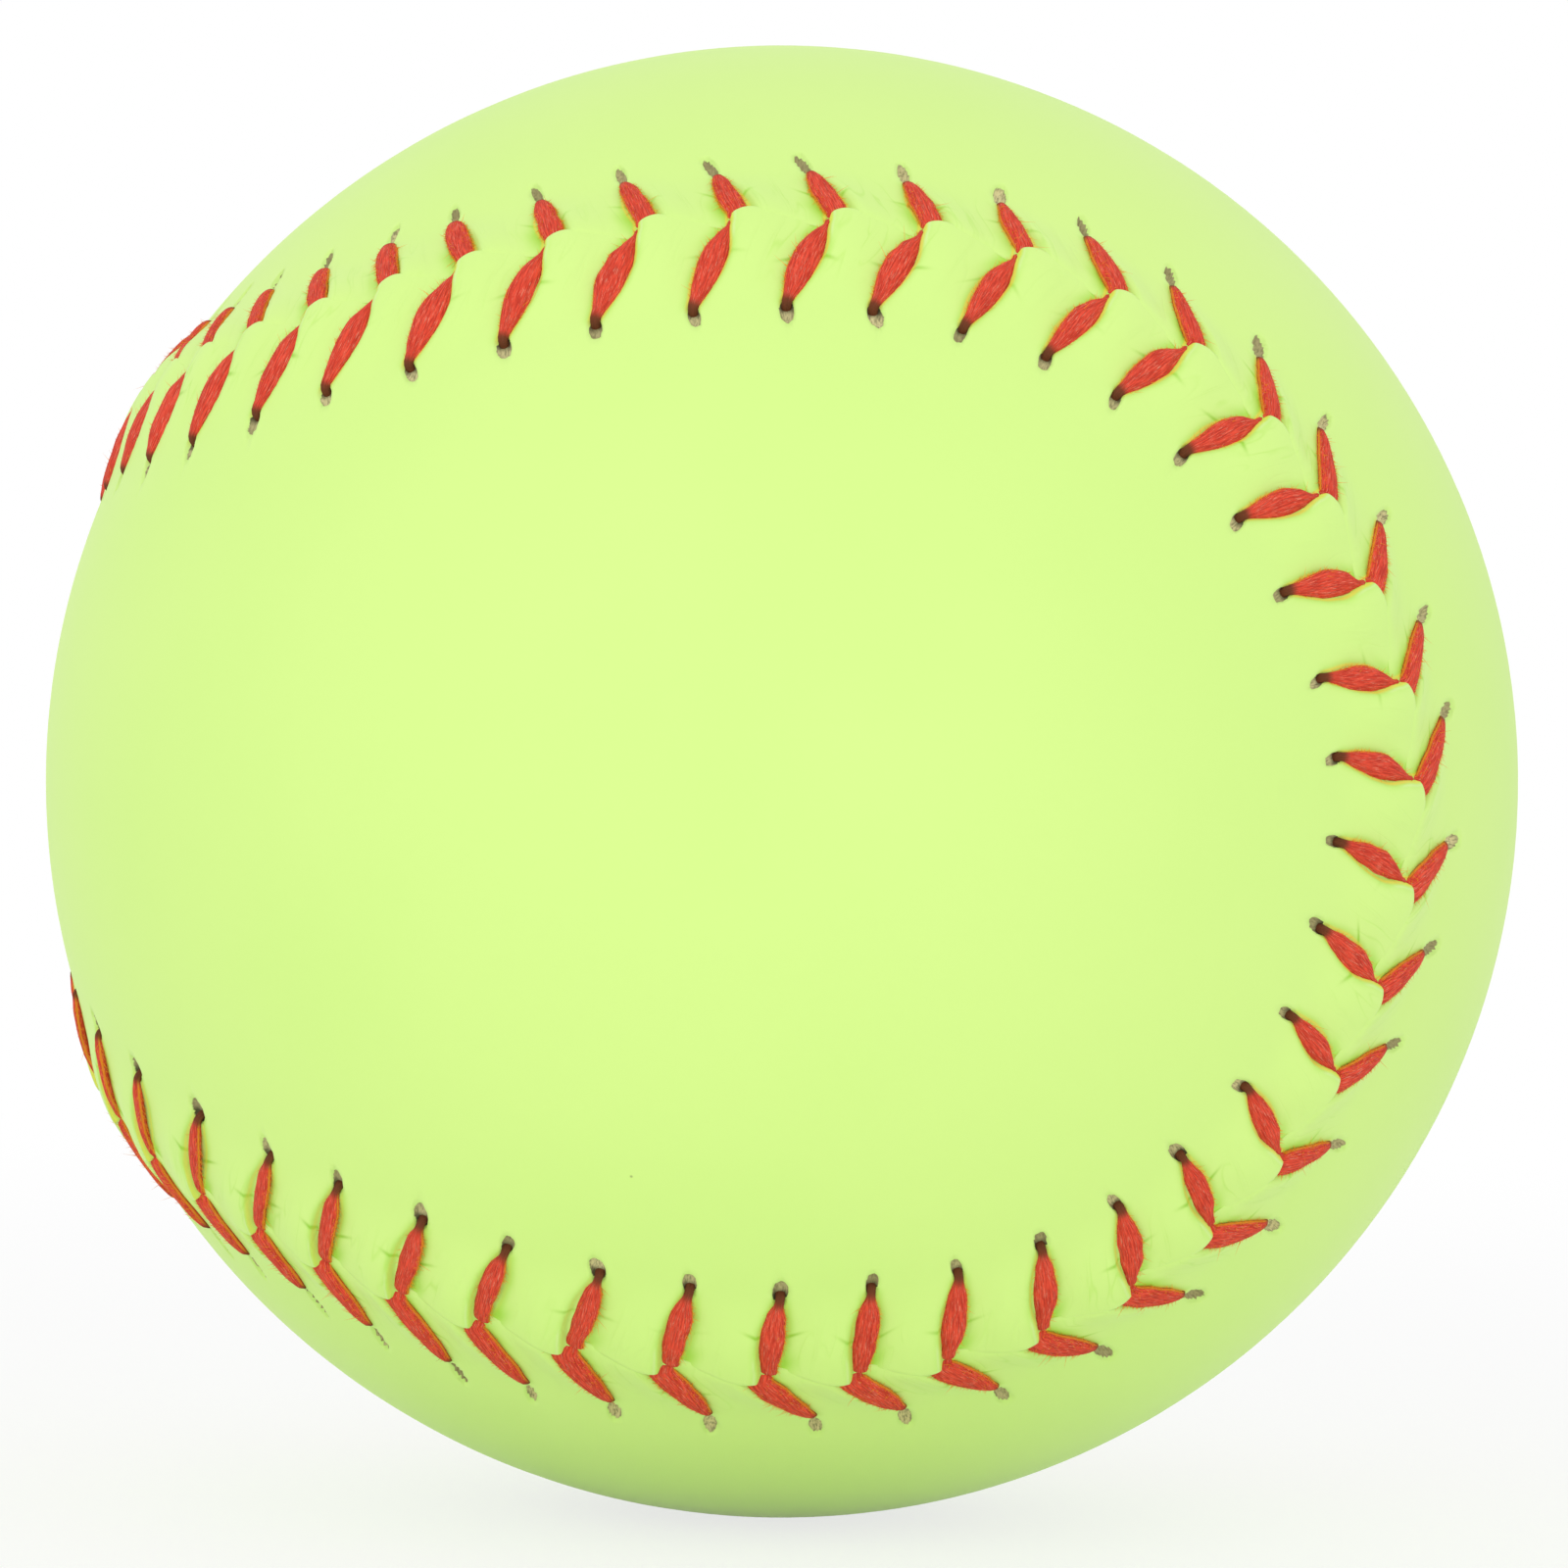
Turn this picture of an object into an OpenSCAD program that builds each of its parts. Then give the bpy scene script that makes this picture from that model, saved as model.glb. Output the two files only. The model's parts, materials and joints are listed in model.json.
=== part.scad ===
// A 12 inch softball: a moulded core, two identical figure-eight cover panels wrapped
// round it, and two threads that lace the panels' edges together in V stitches.
// The origin is the ball's centre. Lengths are millimetres and angles are degrees.

/* [Ball] */

// Diameter of the finished ball over its cover
ball_d = 97; // [88:0.5:106]
// Thickness of the cover panels
cover_t = 1.8; // [1.4:0.1:2.4]

/* [Seam] */

// Width of a cover panel at its waist, measured over the ball
panel_waist_w = 46; // [40:0.5:52]
// Sideways swing of the seam, in degrees, which sets how full the lobes are
seam_swing_angle = 19.6; // [15:0.2:23]
// Gap between the two panels' edges where no thread passes
seam_gap = 0.3; // [0.1:0.05:0.5]
// Height of the welt that the pulled-up edges form along the seam
welt_h = 0.5; // [0.3:0.05:1]
// Width from the seam to where the welt has died away into the ball
welt_reach = 5; // [4:0.1:6]

/* [Lacing] */

// Number of V stitches round the whole seam, an even number
stitch_count = 88; // [76:2:96]
// Distance from the seam to the awl holes
hole_inset = 5.7; // [5:0.1:6.5]
// Distance by which a stitch's two holes lie behind its point
hole_lag = 2.15; // [1:0.05:2.6]
// Largest shift between the holes of the two sides as the seam turns
hole_skew = 0.75; // [0:0.05:1]
// Largest shift of the stitches from even spacing
stitch_drift = 1.9; // [0:0.1:2.4]
// Diameter of a thread where it is pulled tight
thread_d = 0.8; // [0.6:0.05:0.9]
// Width of a stitch where the loose fibres spread over the cover
stitch_w = 1.6; // [1.2:0.05:2]
// Thickness of a stitch where it lies over the cover
stitch_t = 0.5; // [0.4:0.05:0.8]
// Distance along the seam between a stitch's two threads as they dive
dive_gap = 1.4; // [1.3:0.05:1.6]
// Clearance round a thread in its holes, notches and beds
thread_clear = 0.1; // [0.05:0.01:0.15]

/* [Hidden] */

ball_r = ball_d / 2;
core_r = ball_r - cover_t;
thread_r = thread_d / 2;
// Clearance between a stitch and the cover that it lies on
rest_clear = 0.08;
// Overrun of a cut past the face that it goes through
overrun = 0.5;
// Height of the step that the welt ends in
welt_step_h = 0.1;
// Thickness of a thread across a bend, and width of its bed, as shares of its diameter
bend_share = 1.2;
bed_share = 1.5;
// How far a thread's tail runs under the cover, as a share of one hidden run
tail_share = 0.4;
// Share of the welt's height that is left at half of its reach
welt_half_share = 0.55;
// Place of the first stitch, as a share of the spacing
phase_share = 0.738;
// Radii that keep a panel's cutter outside the ball, as shares of the ball's radius
cutter_share = 1.25;
// Sides of a thread's cross-section, and facets of round things
thread_sides = 6;
ball_facets = 120;
hole_facets = 24;
// Cross-sections of the welt for each stitch, as a share
welt_rings_share = 1.25;
// The seam is measured in this many steps to a stitch
steps_per_stitch = 16;
// The seam closes after two turns of its parameter
full_turn_angle = 720;

degrees_per_mm = 180 / PI / ball_r;
seam_peak = 90 - panel_waist_w / 2 * degrees_per_mm;

function unit(v) = v / norm(v);

// The seam as a unit vector. It swings up and down twice while it goes once round the X axis.
function seam_dir(t) =
    let (
        lat = seam_peak * cos(t),
        lon = t / 2 + seam_swing_angle * sin(2 * t)
    )
    [-sin(lat), -cos(lat) * sin(lon), cos(lat) * cos(lon)];

// Arc length along the seam against its parameter
seam_steps = steps_per_stitch * stitch_count;
step_t = full_turn_angle / seam_steps;
step_lengths = [
    for (i = [1:seam_steps]) ball_r * norm(seam_dir(i * step_t) - seam_dir((i - 1) * step_t))
];
arc_table = [
    for (i = 0, s = 0; i <= seam_steps; s = s + (i < seam_steps ? step_lengths[i] : 0), i = i + 1)
        [s, i * step_t]
];
seam_length = arc_table[seam_steps][0];
pitch = seam_length / stitch_count;
welt_rings = round(stitch_count * welt_rings_share);

function seam_t(s) =
    let (laps = floor(s / seam_length))
    lookup(s - laps * seam_length, arc_table) + laps * full_turn_angle;

// The point at distance s along the seam, side_step to the right of it, at radius r
function at(s, side_step, r) =
    let (
        t = seam_t(s),
        up = seam_dir(t),
        ahead = unit(seam_dir(t + step_t / 2) - seam_dir(t - step_t / 2)),
        right = unit(cross(ahead, up)),
        a = side_step * degrees_per_mm
    )
    r * (cos(a) * up + sin(a) * right);

function ahead_at(s) =
    let (t = seam_t(s))
    unit(seam_dir(t + step_t / 2) - seam_dir(t - step_t / 2));

// Stitch k: its place on the seam, the dive of its thread, and its awl hole. The side is 1 for
// the panel on the right of the seam and -1 for the other.
function stitch_s(k) =
    let (s = (k + phase_share) * pitch)
    s - stitch_drift * sin(seam_t(s));
function dive_s(k, side) = stitch_s(k) - side * dive_gap / 2;
function hole_s(k, side) = stitch_s(k) - hole_lag - side * hole_skew * sin(seam_t(stitch_s(k)));
function hole_point(k, side, r) = at(hole_s(k, side), side * hole_inset, r);

// Radius of the cover's outside at a distance from the seam
welt_rise = [[0, welt_h], [welt_reach / 2, welt_h * welt_half_share], [welt_reach, welt_step_h]];
function cover_r(d) = ball_r + (d > welt_reach ? 0 : lookup(d, welt_rise));

// Radius of a thread's middle over the cover, and in its bed on the core
function over_r(d) = cover_r(d) + rest_clear + stitch_t / 2;
bed_r = core_r - rest_clear - thread_r;

notch_half_w = dive_gap / 2 + thread_r + thread_clear;
notch_ramp = thread_r;
notch_depth = thread_r + thread_clear;

// One panel's edge, as distance along the seam and distance from it
function edge_rows() = [
    for (k = [0:stitch_count - 1])
        let (s = stitch_s(k))
        each [
            [s - notch_half_w - notch_ramp, seam_gap / 2],
            [s - notch_half_w, notch_depth],
            [s + notch_half_w, notch_depth],
            [s + notch_half_w + notch_ramp, seam_gap / 2]
        ]
];

// The solid angle of one panel, from the ball's centre to outside its cover. A line of points
// over the panel's middle closes it.
module panel_sector(side) {
    rows = edge_rows();
    n = len(rows);
    half = n / 2;
    far_r = cutter_share * ball_r;
    edge = [for (row = rows) at(row[0], side * row[1], far_r)];
    rows_a_stitch = n / stitch_count;
    // The panel on the right has its lobes' tips a quarter turn later than the other
    tip_s = lookup(side > 0 ? full_turn_angle / 4 : 0, [for (row = arc_table) [row[1], row[0]]]);
    tip = rows_a_stitch * round(tip_s / pitch);
    spine = [
        for (j = [1:half - 1])
            far_r * unit(edge[(tip + j) % n] + edge[(tip - j + n) % n])
    ];
    points = concat([[0, 0, 0]], edge, spine);
    function right_i(j) = 1 + (tip + j) % n;
    function left_i(j) = 1 + (tip - j + n) % n;
    function mid_i(j) = n + j;
    faces = concat(
        [for (i = [0:n - 1]) [0, 1 + (i + 1) % n, 1 + i]],
        [[right_i(0), right_i(1), mid_i(1)], [right_i(0), mid_i(1), left_i(1)]],
        [
            for (j = [1:half - 2]) each [
                [right_i(j), right_i(j + 1), mid_i(j + 1)],
                [right_i(j), mid_i(j + 1), mid_i(j)],
                [mid_i(j), mid_i(j + 1), left_i(j + 1)],
                [mid_i(j), left_i(j + 1), left_i(j)]
            ]
        ],
        [
            [right_i(half - 1), right_i(half), mid_i(half - 1)],
            [mid_i(half - 1), right_i(half), left_i(half - 1)]
        ]
    );
    polyhedron(points, [for (f = faces) side > 0 ? f : [f[2], f[1], f[0]]]);
}

// A ring of faces between cross-sections of equal size, closed round the loop or capped
function tube_faces(rings, sides, closed) = concat(
    [
        for (i = [0:rings - (closed ? 1 : 2)])
            for (j = [0:sides - 1])
                let (
                    a = i * sides + j,
                    b = i * sides + (j + 1) % sides,
                    c = (i + 1) % rings * sides + j,
                    d = (i + 1) % rings * sides + (j + 1) % sides
                )
                each [[a, b, d], [a, d, c]]
    ],
    closed ? [] : [
        [for (j = [sides - 1:-1:0]) j],
        [for (j = [0:sides - 1]) (rings - 1) * sides + j]
    ]
);

// The half of the welt that belongs to one panel. It starts past the seam, where the sector
// trims it, and ends in a low step.
module welt(side) {
    profile = [
        [-overrun, ball_r - cover_t / 2],
        [-overrun, cover_r(0)],
        [welt_reach / 2, cover_r(welt_reach / 2)],
        [welt_reach, cover_r(welt_reach)],
        [welt_reach, ball_r - cover_t / 2]
    ];
    points = [
        for (i = [0:welt_rings - 1])
            for (q = profile)
                at(i * seam_length / welt_rings, side * q[0], q[1])
    ];
    faces = tube_faces(welt_rings, len(profile), true);
    polyhedron(points, [for (f = faces) side < 0 ? f : [f[2], f[1], f[0]]]);
}

// A ball turned so that its poles and its join lie under the other panel
module round_ball(r, side) {
    rotate(side > 0 ? 0 : 180, [0, 1, 1])
        sphere(r, $fn = ball_facets);
}

module cover_panel(side) {
    color([0.84, 0.98, 0.5])
    difference() {
        intersection() {
            union() {
                round_ball(ball_r, side);
                welt(side);
            }
            panel_sector(side);
        }
        round_ball(core_r, side);
        for (k = [0:stitch_count - 1])
            awl_hole(k, side);
    }
}

// A cylinder from one point to another
module rod(from, to, r) {
    v = to - from;
    translate(from)
        rotate([0, acos(v[2] / norm(v)), atan2(v[1], v[0])])
            cylinder(h = norm(v), r = r, $fn = hole_facets);
}

module awl_hole(k, side) {
    rod(
        hole_point(k, side, core_r - overrun),
        hole_point(k, side, ball_r + welt_h + overrun),
        thread_r + 2 * thread_clear
    );
}

// A thread's hidden run, in the core, from its dive at stitch k to its next awl hole
function run_start(k, side) = at(dive_s(k, side), 0, bed_r);
function run_end(k, side) = hole_point(k + 1, -side, bed_r);

// The groove that a hidden run has pressed into the core
module bed(k, side) {
    rise = thread_r / 2;
    from = at(dive_s(k, side), 0, bed_r + rise);
    to = hole_point(k + 1, -side, bed_r + rise);
    past = unit(to - from) * (thread_r + thread_clear);
    rod(from - past, to + past, thread_r * bed_share + thread_clear);
}

module core() {
    color([0.93, 0.9, 0.8])
    difference() {
        sphere(core_r, $fn = ball_facets);
        for (k = [0:stitch_count - 1])
            for (side = [-1, 1])
                bed(k, side);
    }
}

// One limb of a thread: up through the awl hole, over the cover to the seam and down between
// the panels. Each row is a middle point, the seam's direction there, and two half sizes.
function limb_rows(k, side) =
    let (
        s_hole = hole_s(k, side),
        s_dive = dive_s(k, side),
        s_mid = (s_hole + s_dive) / 2,
        over_mid = at(s_mid, side * hole_inset / 2, over_r(hole_inset / 2))
    )
    [
        [run_end(k - 1, -side), ahead_at(s_hole), thread_r, thread_r * bend_share],
        [hole_point(k, side, over_r(hole_inset)), ahead_at(s_hole), thread_r, thread_r],
        [over_mid, ahead_at(s_mid), stitch_w / 2, stitch_t / 2],
        [at(s_dive, 0, over_r(0)), ahead_at(s_dive), thread_r, thread_r],
        [run_start(k, side), ahead_at(s_dive), thread_r, thread_r * bend_share]
    ];

// The end of a tail, part of the way from one end of a hidden run to the other
function tail_row(from, to, s) =
    [from + (to - from) * tail_share, ahead_at(s), thread_r, thread_r];

// A thread is unbroken from tail to tail, and changes sides at each stitch
module lacing_thread(first_side) {
    last = stitch_count - 1;
    rows = concat(
        [tail_row(run_end(-1, -first_side), run_start(-1, -first_side), hole_s(0, first_side))],
        [for (k = [0:last]) each limb_rows(k, k % 2 == 0 ? first_side : -first_side)],
        [tail_row(run_start(last, -first_side), run_end(last, -first_side), dive_s(last, -first_side))]
    );
    n = len(rows);
    points = [
        for (i = [0:n - 1])
            let (
                before = i > 0 ? unit(rows[i][0] - rows[i - 1][0]) : [0, 0, 0],
                after = i < n - 1 ? unit(rows[i + 1][0] - rows[i][0]) : [0, 0, 0],
                along = unit(before + after),
                wide = unit(rows[i][1] - (rows[i][1] * along) * along),
                thick = cross(along, wide)
            )
            for (j = [0:thread_sides - 1])
                let (a = j * 360 / thread_sides)
                rows[i][0] + rows[i][2] * cos(a) * wide + rows[i][3] * sin(a) * thick
    ];
    faces = tube_faces(n, thread_sides, false);
    color([0.84, 0.26, 0.2])
    polyhedron(points, [for (f = faces) [for (j = [len(f) - 1:-1:0]) f[j]]]);
}

module cover_panel_a() { cover_panel(1); }
module cover_panel_b() { cover_panel(-1); }
module lacing_thread_a() { lacing_thread(1); }
module lacing_thread_b() { lacing_thread(-1); }

core();
cover_panel_a();
cover_panel_b();
lacing_thread_a();
lacing_thread_b();
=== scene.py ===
"""A laced softball: two figure-eight cover panels over a moulded core, held by two red threads.

Lengths are metres, angles are radians and the origin is the ball's centre. Along the seam and
across it, patterns are worked out in millimetres, which the attributes and the UV map hold too.
"""

import json
import math

import bmesh
import bpy
import numpy as np
from mathutils import Matrix, Vector


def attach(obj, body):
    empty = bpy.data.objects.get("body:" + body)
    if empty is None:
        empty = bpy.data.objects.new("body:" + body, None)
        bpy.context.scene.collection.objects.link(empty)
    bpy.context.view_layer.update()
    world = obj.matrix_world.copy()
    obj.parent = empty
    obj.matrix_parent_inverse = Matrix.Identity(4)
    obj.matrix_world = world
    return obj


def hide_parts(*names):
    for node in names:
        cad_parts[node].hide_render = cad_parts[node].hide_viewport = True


bl_info = {
    "name": "Laced softball",
    "version": (1, 0, 0),
    "blender": (4, 5, 0),
    "location": "3D View > Sidebar > Softball",
    "description": "Builds the cover, the lacing and the core of a softball",
    "category": "Object",
}

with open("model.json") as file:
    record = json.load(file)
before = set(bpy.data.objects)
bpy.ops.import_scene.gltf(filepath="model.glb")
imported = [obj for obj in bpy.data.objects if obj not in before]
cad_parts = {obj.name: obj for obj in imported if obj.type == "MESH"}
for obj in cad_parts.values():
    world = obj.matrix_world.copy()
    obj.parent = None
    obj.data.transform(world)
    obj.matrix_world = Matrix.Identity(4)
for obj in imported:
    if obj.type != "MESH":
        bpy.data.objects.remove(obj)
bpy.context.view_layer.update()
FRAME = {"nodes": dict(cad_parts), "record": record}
MM = 0.001
REST_HEIGHT = -FRAME["record"]["mounts"][0]["pos_m"][2]

TURNS = 4 * math.pi
STEPS_PER_STITCH = 16
# How far along the seam the first stitch lies, as a share of the pitch
FIRST_STITCH = 0.738
# The places that the layout keeps before the first stitch and after the last
SPARE = 2
STRAY_SEED, WHIM_SEED, THREAD_SEED, FIBRE_SEED = 12, 7, 40, 3

# The columns of the cover's fine band, in mm across a limb
COLUMNS = [
    -2.55, -2.1, -1.7, -1.4, -1.15, -0.92, -0.7, -0.48, -0.28, -0.12, 0.02, 0.14,
    0.26, 0.38, 0.5, 0.62, 0.76, 0.92, 1.12, 1.4, 1.75, 2.1, 2.5, 2.9,
]
# The rows of the fine band, in mm from the panel's edge
ROWS = [
    0, 0.05, 0.13, 0.25, 0.42, 0.62, 0.85, 1.1, 1.4, 1.75, 2.15, 2.6, 3.1, 3.6, 4.1, 4.5,
    4.85, 5.1, 5.35, 5.65, 5.95, 6.3, 6.6, 6.85, 7.1, 7.4, 7.75, 8.15, 8.7, 9.7, 11.4,
]
# Fine cells beside one coarse cell, and cells along each arc across a lobe
COARSE = 4
SPINE_CELLS = 24
# The inset that stands for anywhere off the fine band, in mm
FAR = 20.0

# Where a limb meets the seam, in mm ahead of its stitch's point. Side 1 is the first panel's.
LIMB_END = {1: -0.1, -1: 0.42}
# How far the panels' edges swing about their lap line, how far the second is tucked under the
# first, how far in the swing dies away, and the gap in the CAD model, all in mm
EDGE_SWING = 0.6
TUCK = 0.35
EDGE_FADE = 1.6
EDGE_GAP = 0.3
# A flap corner's rise, and its arc's start and end ahead of a stitch's point, in mm
FLAP_RISE = 1.15
ARC_START = -0.15
ARC_END = 1.2
# The step from the fine band to its coarse ring, and the depths of the rows down an edge, in mm
RING_STEP = 0.9
WALL_DEPTHS = (0.35, 0.9)
# How far in from the seam a lobe's end is looked for, in metres
LOBE_STEP = 0.012

# The real ball's local strays: a size in mm, a place in degrees of turn and a spread in radians
STITCH_STRAYS = [(-0.8, 49, 0.15), (-0.7, 263, 0.13), (1.8, 335, 0.3)]
HOLE_STRAYS = {1: [(-0.9, 306, 0.25), (-0.5, 60, 0.6), (0.7, 263, 0.13)], -1: [(1.7, 306, 0.25)]}
REACH_STRAYS = {1: [(-0.8, 215, 0.35)], -1: [(1.1, 286, 0.15), (0.4, 270, 0.2)]}
SEAM_BOW = [(4.0, 345, 0.5)]

# A limb over the cover: how far each row is from the hole in mm, its share of the half width,
# what bluntness adds to that, how loose its fibres are, what bluntness adds to that, and its
# height over the ball in mm
LIMB = {
    1: [
        (0.15, 0.36, 0, 0.15, 0, 0.04), (0.6, 0.46, 0, 0.8, -0.25, 0.12),
        (1.2, 0.67, 0.1, 1, 0, 0.2), (1.9, 0.87, 0.08, 1, 0, 0.27), (2.7, 1, 0, 1, 0, 0.34),
        (3.5, 1, 0, 1, 0, 0.41), (4.2, 0.9, 0.08, 1, 0, 0.45), (4.8, 0.72, 0.2, 1, 0, 0.46),
        (5.3, 0.52, 0.34, 1, 0, 0.44),
    ],
    -1: [
        (0.15, 0.36, 0.3, 0.3, 0, 0.08), (0.6, 0.5, 0.3, 0.9, 0, 0.2),
        (1.1, 0.68, 0.24, 1, 0, 0.27), (1.8, 0.86, 0.09, 1, 0, 0.34), (2.5, 0.96, 0, 1, 0, 0.42),
        (3.2, 1, 0, 1, 0, 0.48), (3.9, 0.97, 0, 1, 0, 0.5), (4.4, 0.92, 0, 1, 0, 0.46),
        (4.8, 0.88, 0, 1, 0, 0.32),
    ],
}
# The room between the cover and a thread's run under it, in mm
UNDER_ROOM = 0.08
# How much the first panel's limbs lean in under the flaps ahead of them
LEAN = 0.35
RING_POINTS = 12

# Depths of the cover's relief in mm
LIP_DEPTH = 0.04
HOLE_DEPTH = 0.4
DIMPLE_DEPTH = 0.12
WRINKLE_DEPTH = 0.1
# A stray fibre's greatest usual length and its radius at the root, in mm
FIBRE_LENGTH = 0.42
FIBRE_RADIUS = 0.02

# Colours that go with the colours below. The pucker shade, the hole shade and the dive shade are
# painted shade, and the glow is painted light.
PUCKER_PAINTED_SHADE = (0.22, 0.5, 0.03)
PAINTED_GLOW = (0.97, 0.76, 0.05)
SLOT_RIM = (0.13, 0.13, 0.04)
SLOT_SOIL = (0.28, 0.24, 0.1)
HOLE_SHADE = (0.05, 0.045, 0.015)
SPECK = (0.12, 0.16, 0.05)
FLECK = (0.97, 0.44, 0.3)
DIVE_SHADE = (0.1, 0.045, 0.015)

# The camera's way, its distance in ball radii, its roll in degrees, its lens in mm and its shift
CAMERA_WAY = (0.18117, -0.98301, 0.02960)
CAMERA_FAR = 10.149
CAMERA_ROLL = 1.33
LENS = 170.7
SHIFT = (0.0013, -0.0016)
# Each lamp's place and size in metres, and its power in watts
LAMPS = {
    "key_light": ((-0.2, -0.95, 0.35), 0.5, 1.0),
    "fill_light": ((0.35, -0.95, 0.0), 0.7, 1.5),
}
WORLD_LIGHT = 0.87
FLOOR_HALF = 4.0


# Sizes and colours that a user would change


def length(name, text, millimetres):
    return bpy.props.FloatProperty(
        name=name, description=text, default=millimetres * MM, unit="LENGTH", precision=5
    )


def colour(name, text, rgb):
    return bpy.props.FloatVectorProperty(
        name=name, description=text, default=rgb, size=3, min=0, max=1, subtype="COLOR"
    )


class SoftballSizes(bpy.types.PropertyGroup):
    ball_d: length("Ball", "Diameter over the cover", 2 * REST_HEIGHT / MM)
    cover_t: length("Cover", "Thickness of the cover panels", 1.8)
    waist_w: length("Waist", "Width of a panel's waist over the ball", 46)
    swing: bpy.props.FloatProperty(
        name="Swing", description="Sideways swing of the seam", default=math.radians(19.6),
        subtype="ANGLE",
    )
    stitches: bpy.props.IntProperty(
        name="Stitches", description="V stitches round the whole seam", default=88, min=40
    )
    welt_h: length("Welt", "Height of the welt along the seam", 0.5)
    pillow_h: length("Pillows", "Height of the bulges between the stitches", 0.52)
    lap: length("Lap", "How far the first panel's edge laps over the other", 1.0)
    hole_inset: length("Hole inset", "Distance from the seam to the awl holes", 5.7)
    hole_lag: length("Hole lag", "How far the holes lie behind a stitch's point", 1.95)
    hole_skew: length("Hole skew", "Largest shift between the holes of the two sides", 0.75)
    unevenness: length("Unevenness", "How far a stitch's ends stray from their places", 0.3)
    drift: length("Drift", "Largest shift of the stitches from even spacing", 1.9)
    stitch_w: length("Stitch width", "Width of a stitch where its fibres spread", 1.66)
    stitch_t: length("Stitch thickness", "Thickness of a stitch over the cover", 0.7)
    thread_d: length("Thread", "Diameter of a thread where it is pulled tight", 0.8)
    fuzz: bpy.props.FloatProperty(
        name="Fuzz", description="Stray fibres on each square millimetre of stitch",
        default=40.0, min=0,
    )


class SoftballColours(bpy.types.PropertyGroup):
    cover: colour("Cover", "The optic yellow of the cover's coat", (0.69, 0.955, 0.27))
    # Painted shade in the cover's creases, beside the limbs and behind their points
    crease_shade: colour("Creases", "The cover's deeper yellow-green in creases", (0.42, 0.80, 0.06))
    # A painted highlight on the first panel's lip
    lip: colour("Lips", "The pale lip of a pulled-up edge", (0.88, 0.96, 0.55))
    backing: colour("Backing", "The leather's bare fibres in an awl hole", (0.43, 0.38, 0.2))
    thread: colour("Thread", "The red of the lacing", (0.84, 0.056, 0.029))
    # The loose fibres along a stitch's edges, painted with a glow
    rim_light: colour("Thread rim", "The loose fibres along a stitch's edges", (0.92, 0.37, 0.02))
    core: colour("Core", "The moulded foam of the core", (0.85, 0.79, 0.6))
    floor: colour("Floor", "The pale studio floor", (0.97, 0.97, 0.97))


# Node trees written as Python expressions


class Wire:
    """A node's output that can be used in Python arithmetic."""

    def __init__(self, plan, node, socket):
        self.plan, self.node, self.socket = plan, node, socket

    def out(self, name):
        return Wire(self.plan, self.node, self.node.outputs[name])

    def __add__(self, other):
        return self.plan.maths("ADD", self, other)

    def __sub__(self, other):
        return self.plan.maths("SUBTRACT", self, other)

    def __rsub__(self, other):
        return self.plan.maths("SUBTRACT", other, self)

    def __mul__(self, other):
        return self.plan.maths("MULTIPLY", self, other)

    def __truediv__(self, other):
        return self.plan.maths("DIVIDE", self, other)

    def __rtruediv__(self, other):
        return self.plan.maths("DIVIDE", other, self)

    def __pow__(self, other):
        return self.plan.maths("POWER", self, other)

    def __neg__(self):
        return self.plan.maths("MULTIPLY", self, -1)

    def __abs__(self):
        return self.plan.maths("ABSOLUTE", self)

    __radd__ = __add__
    __rmul__ = __mul__


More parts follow.
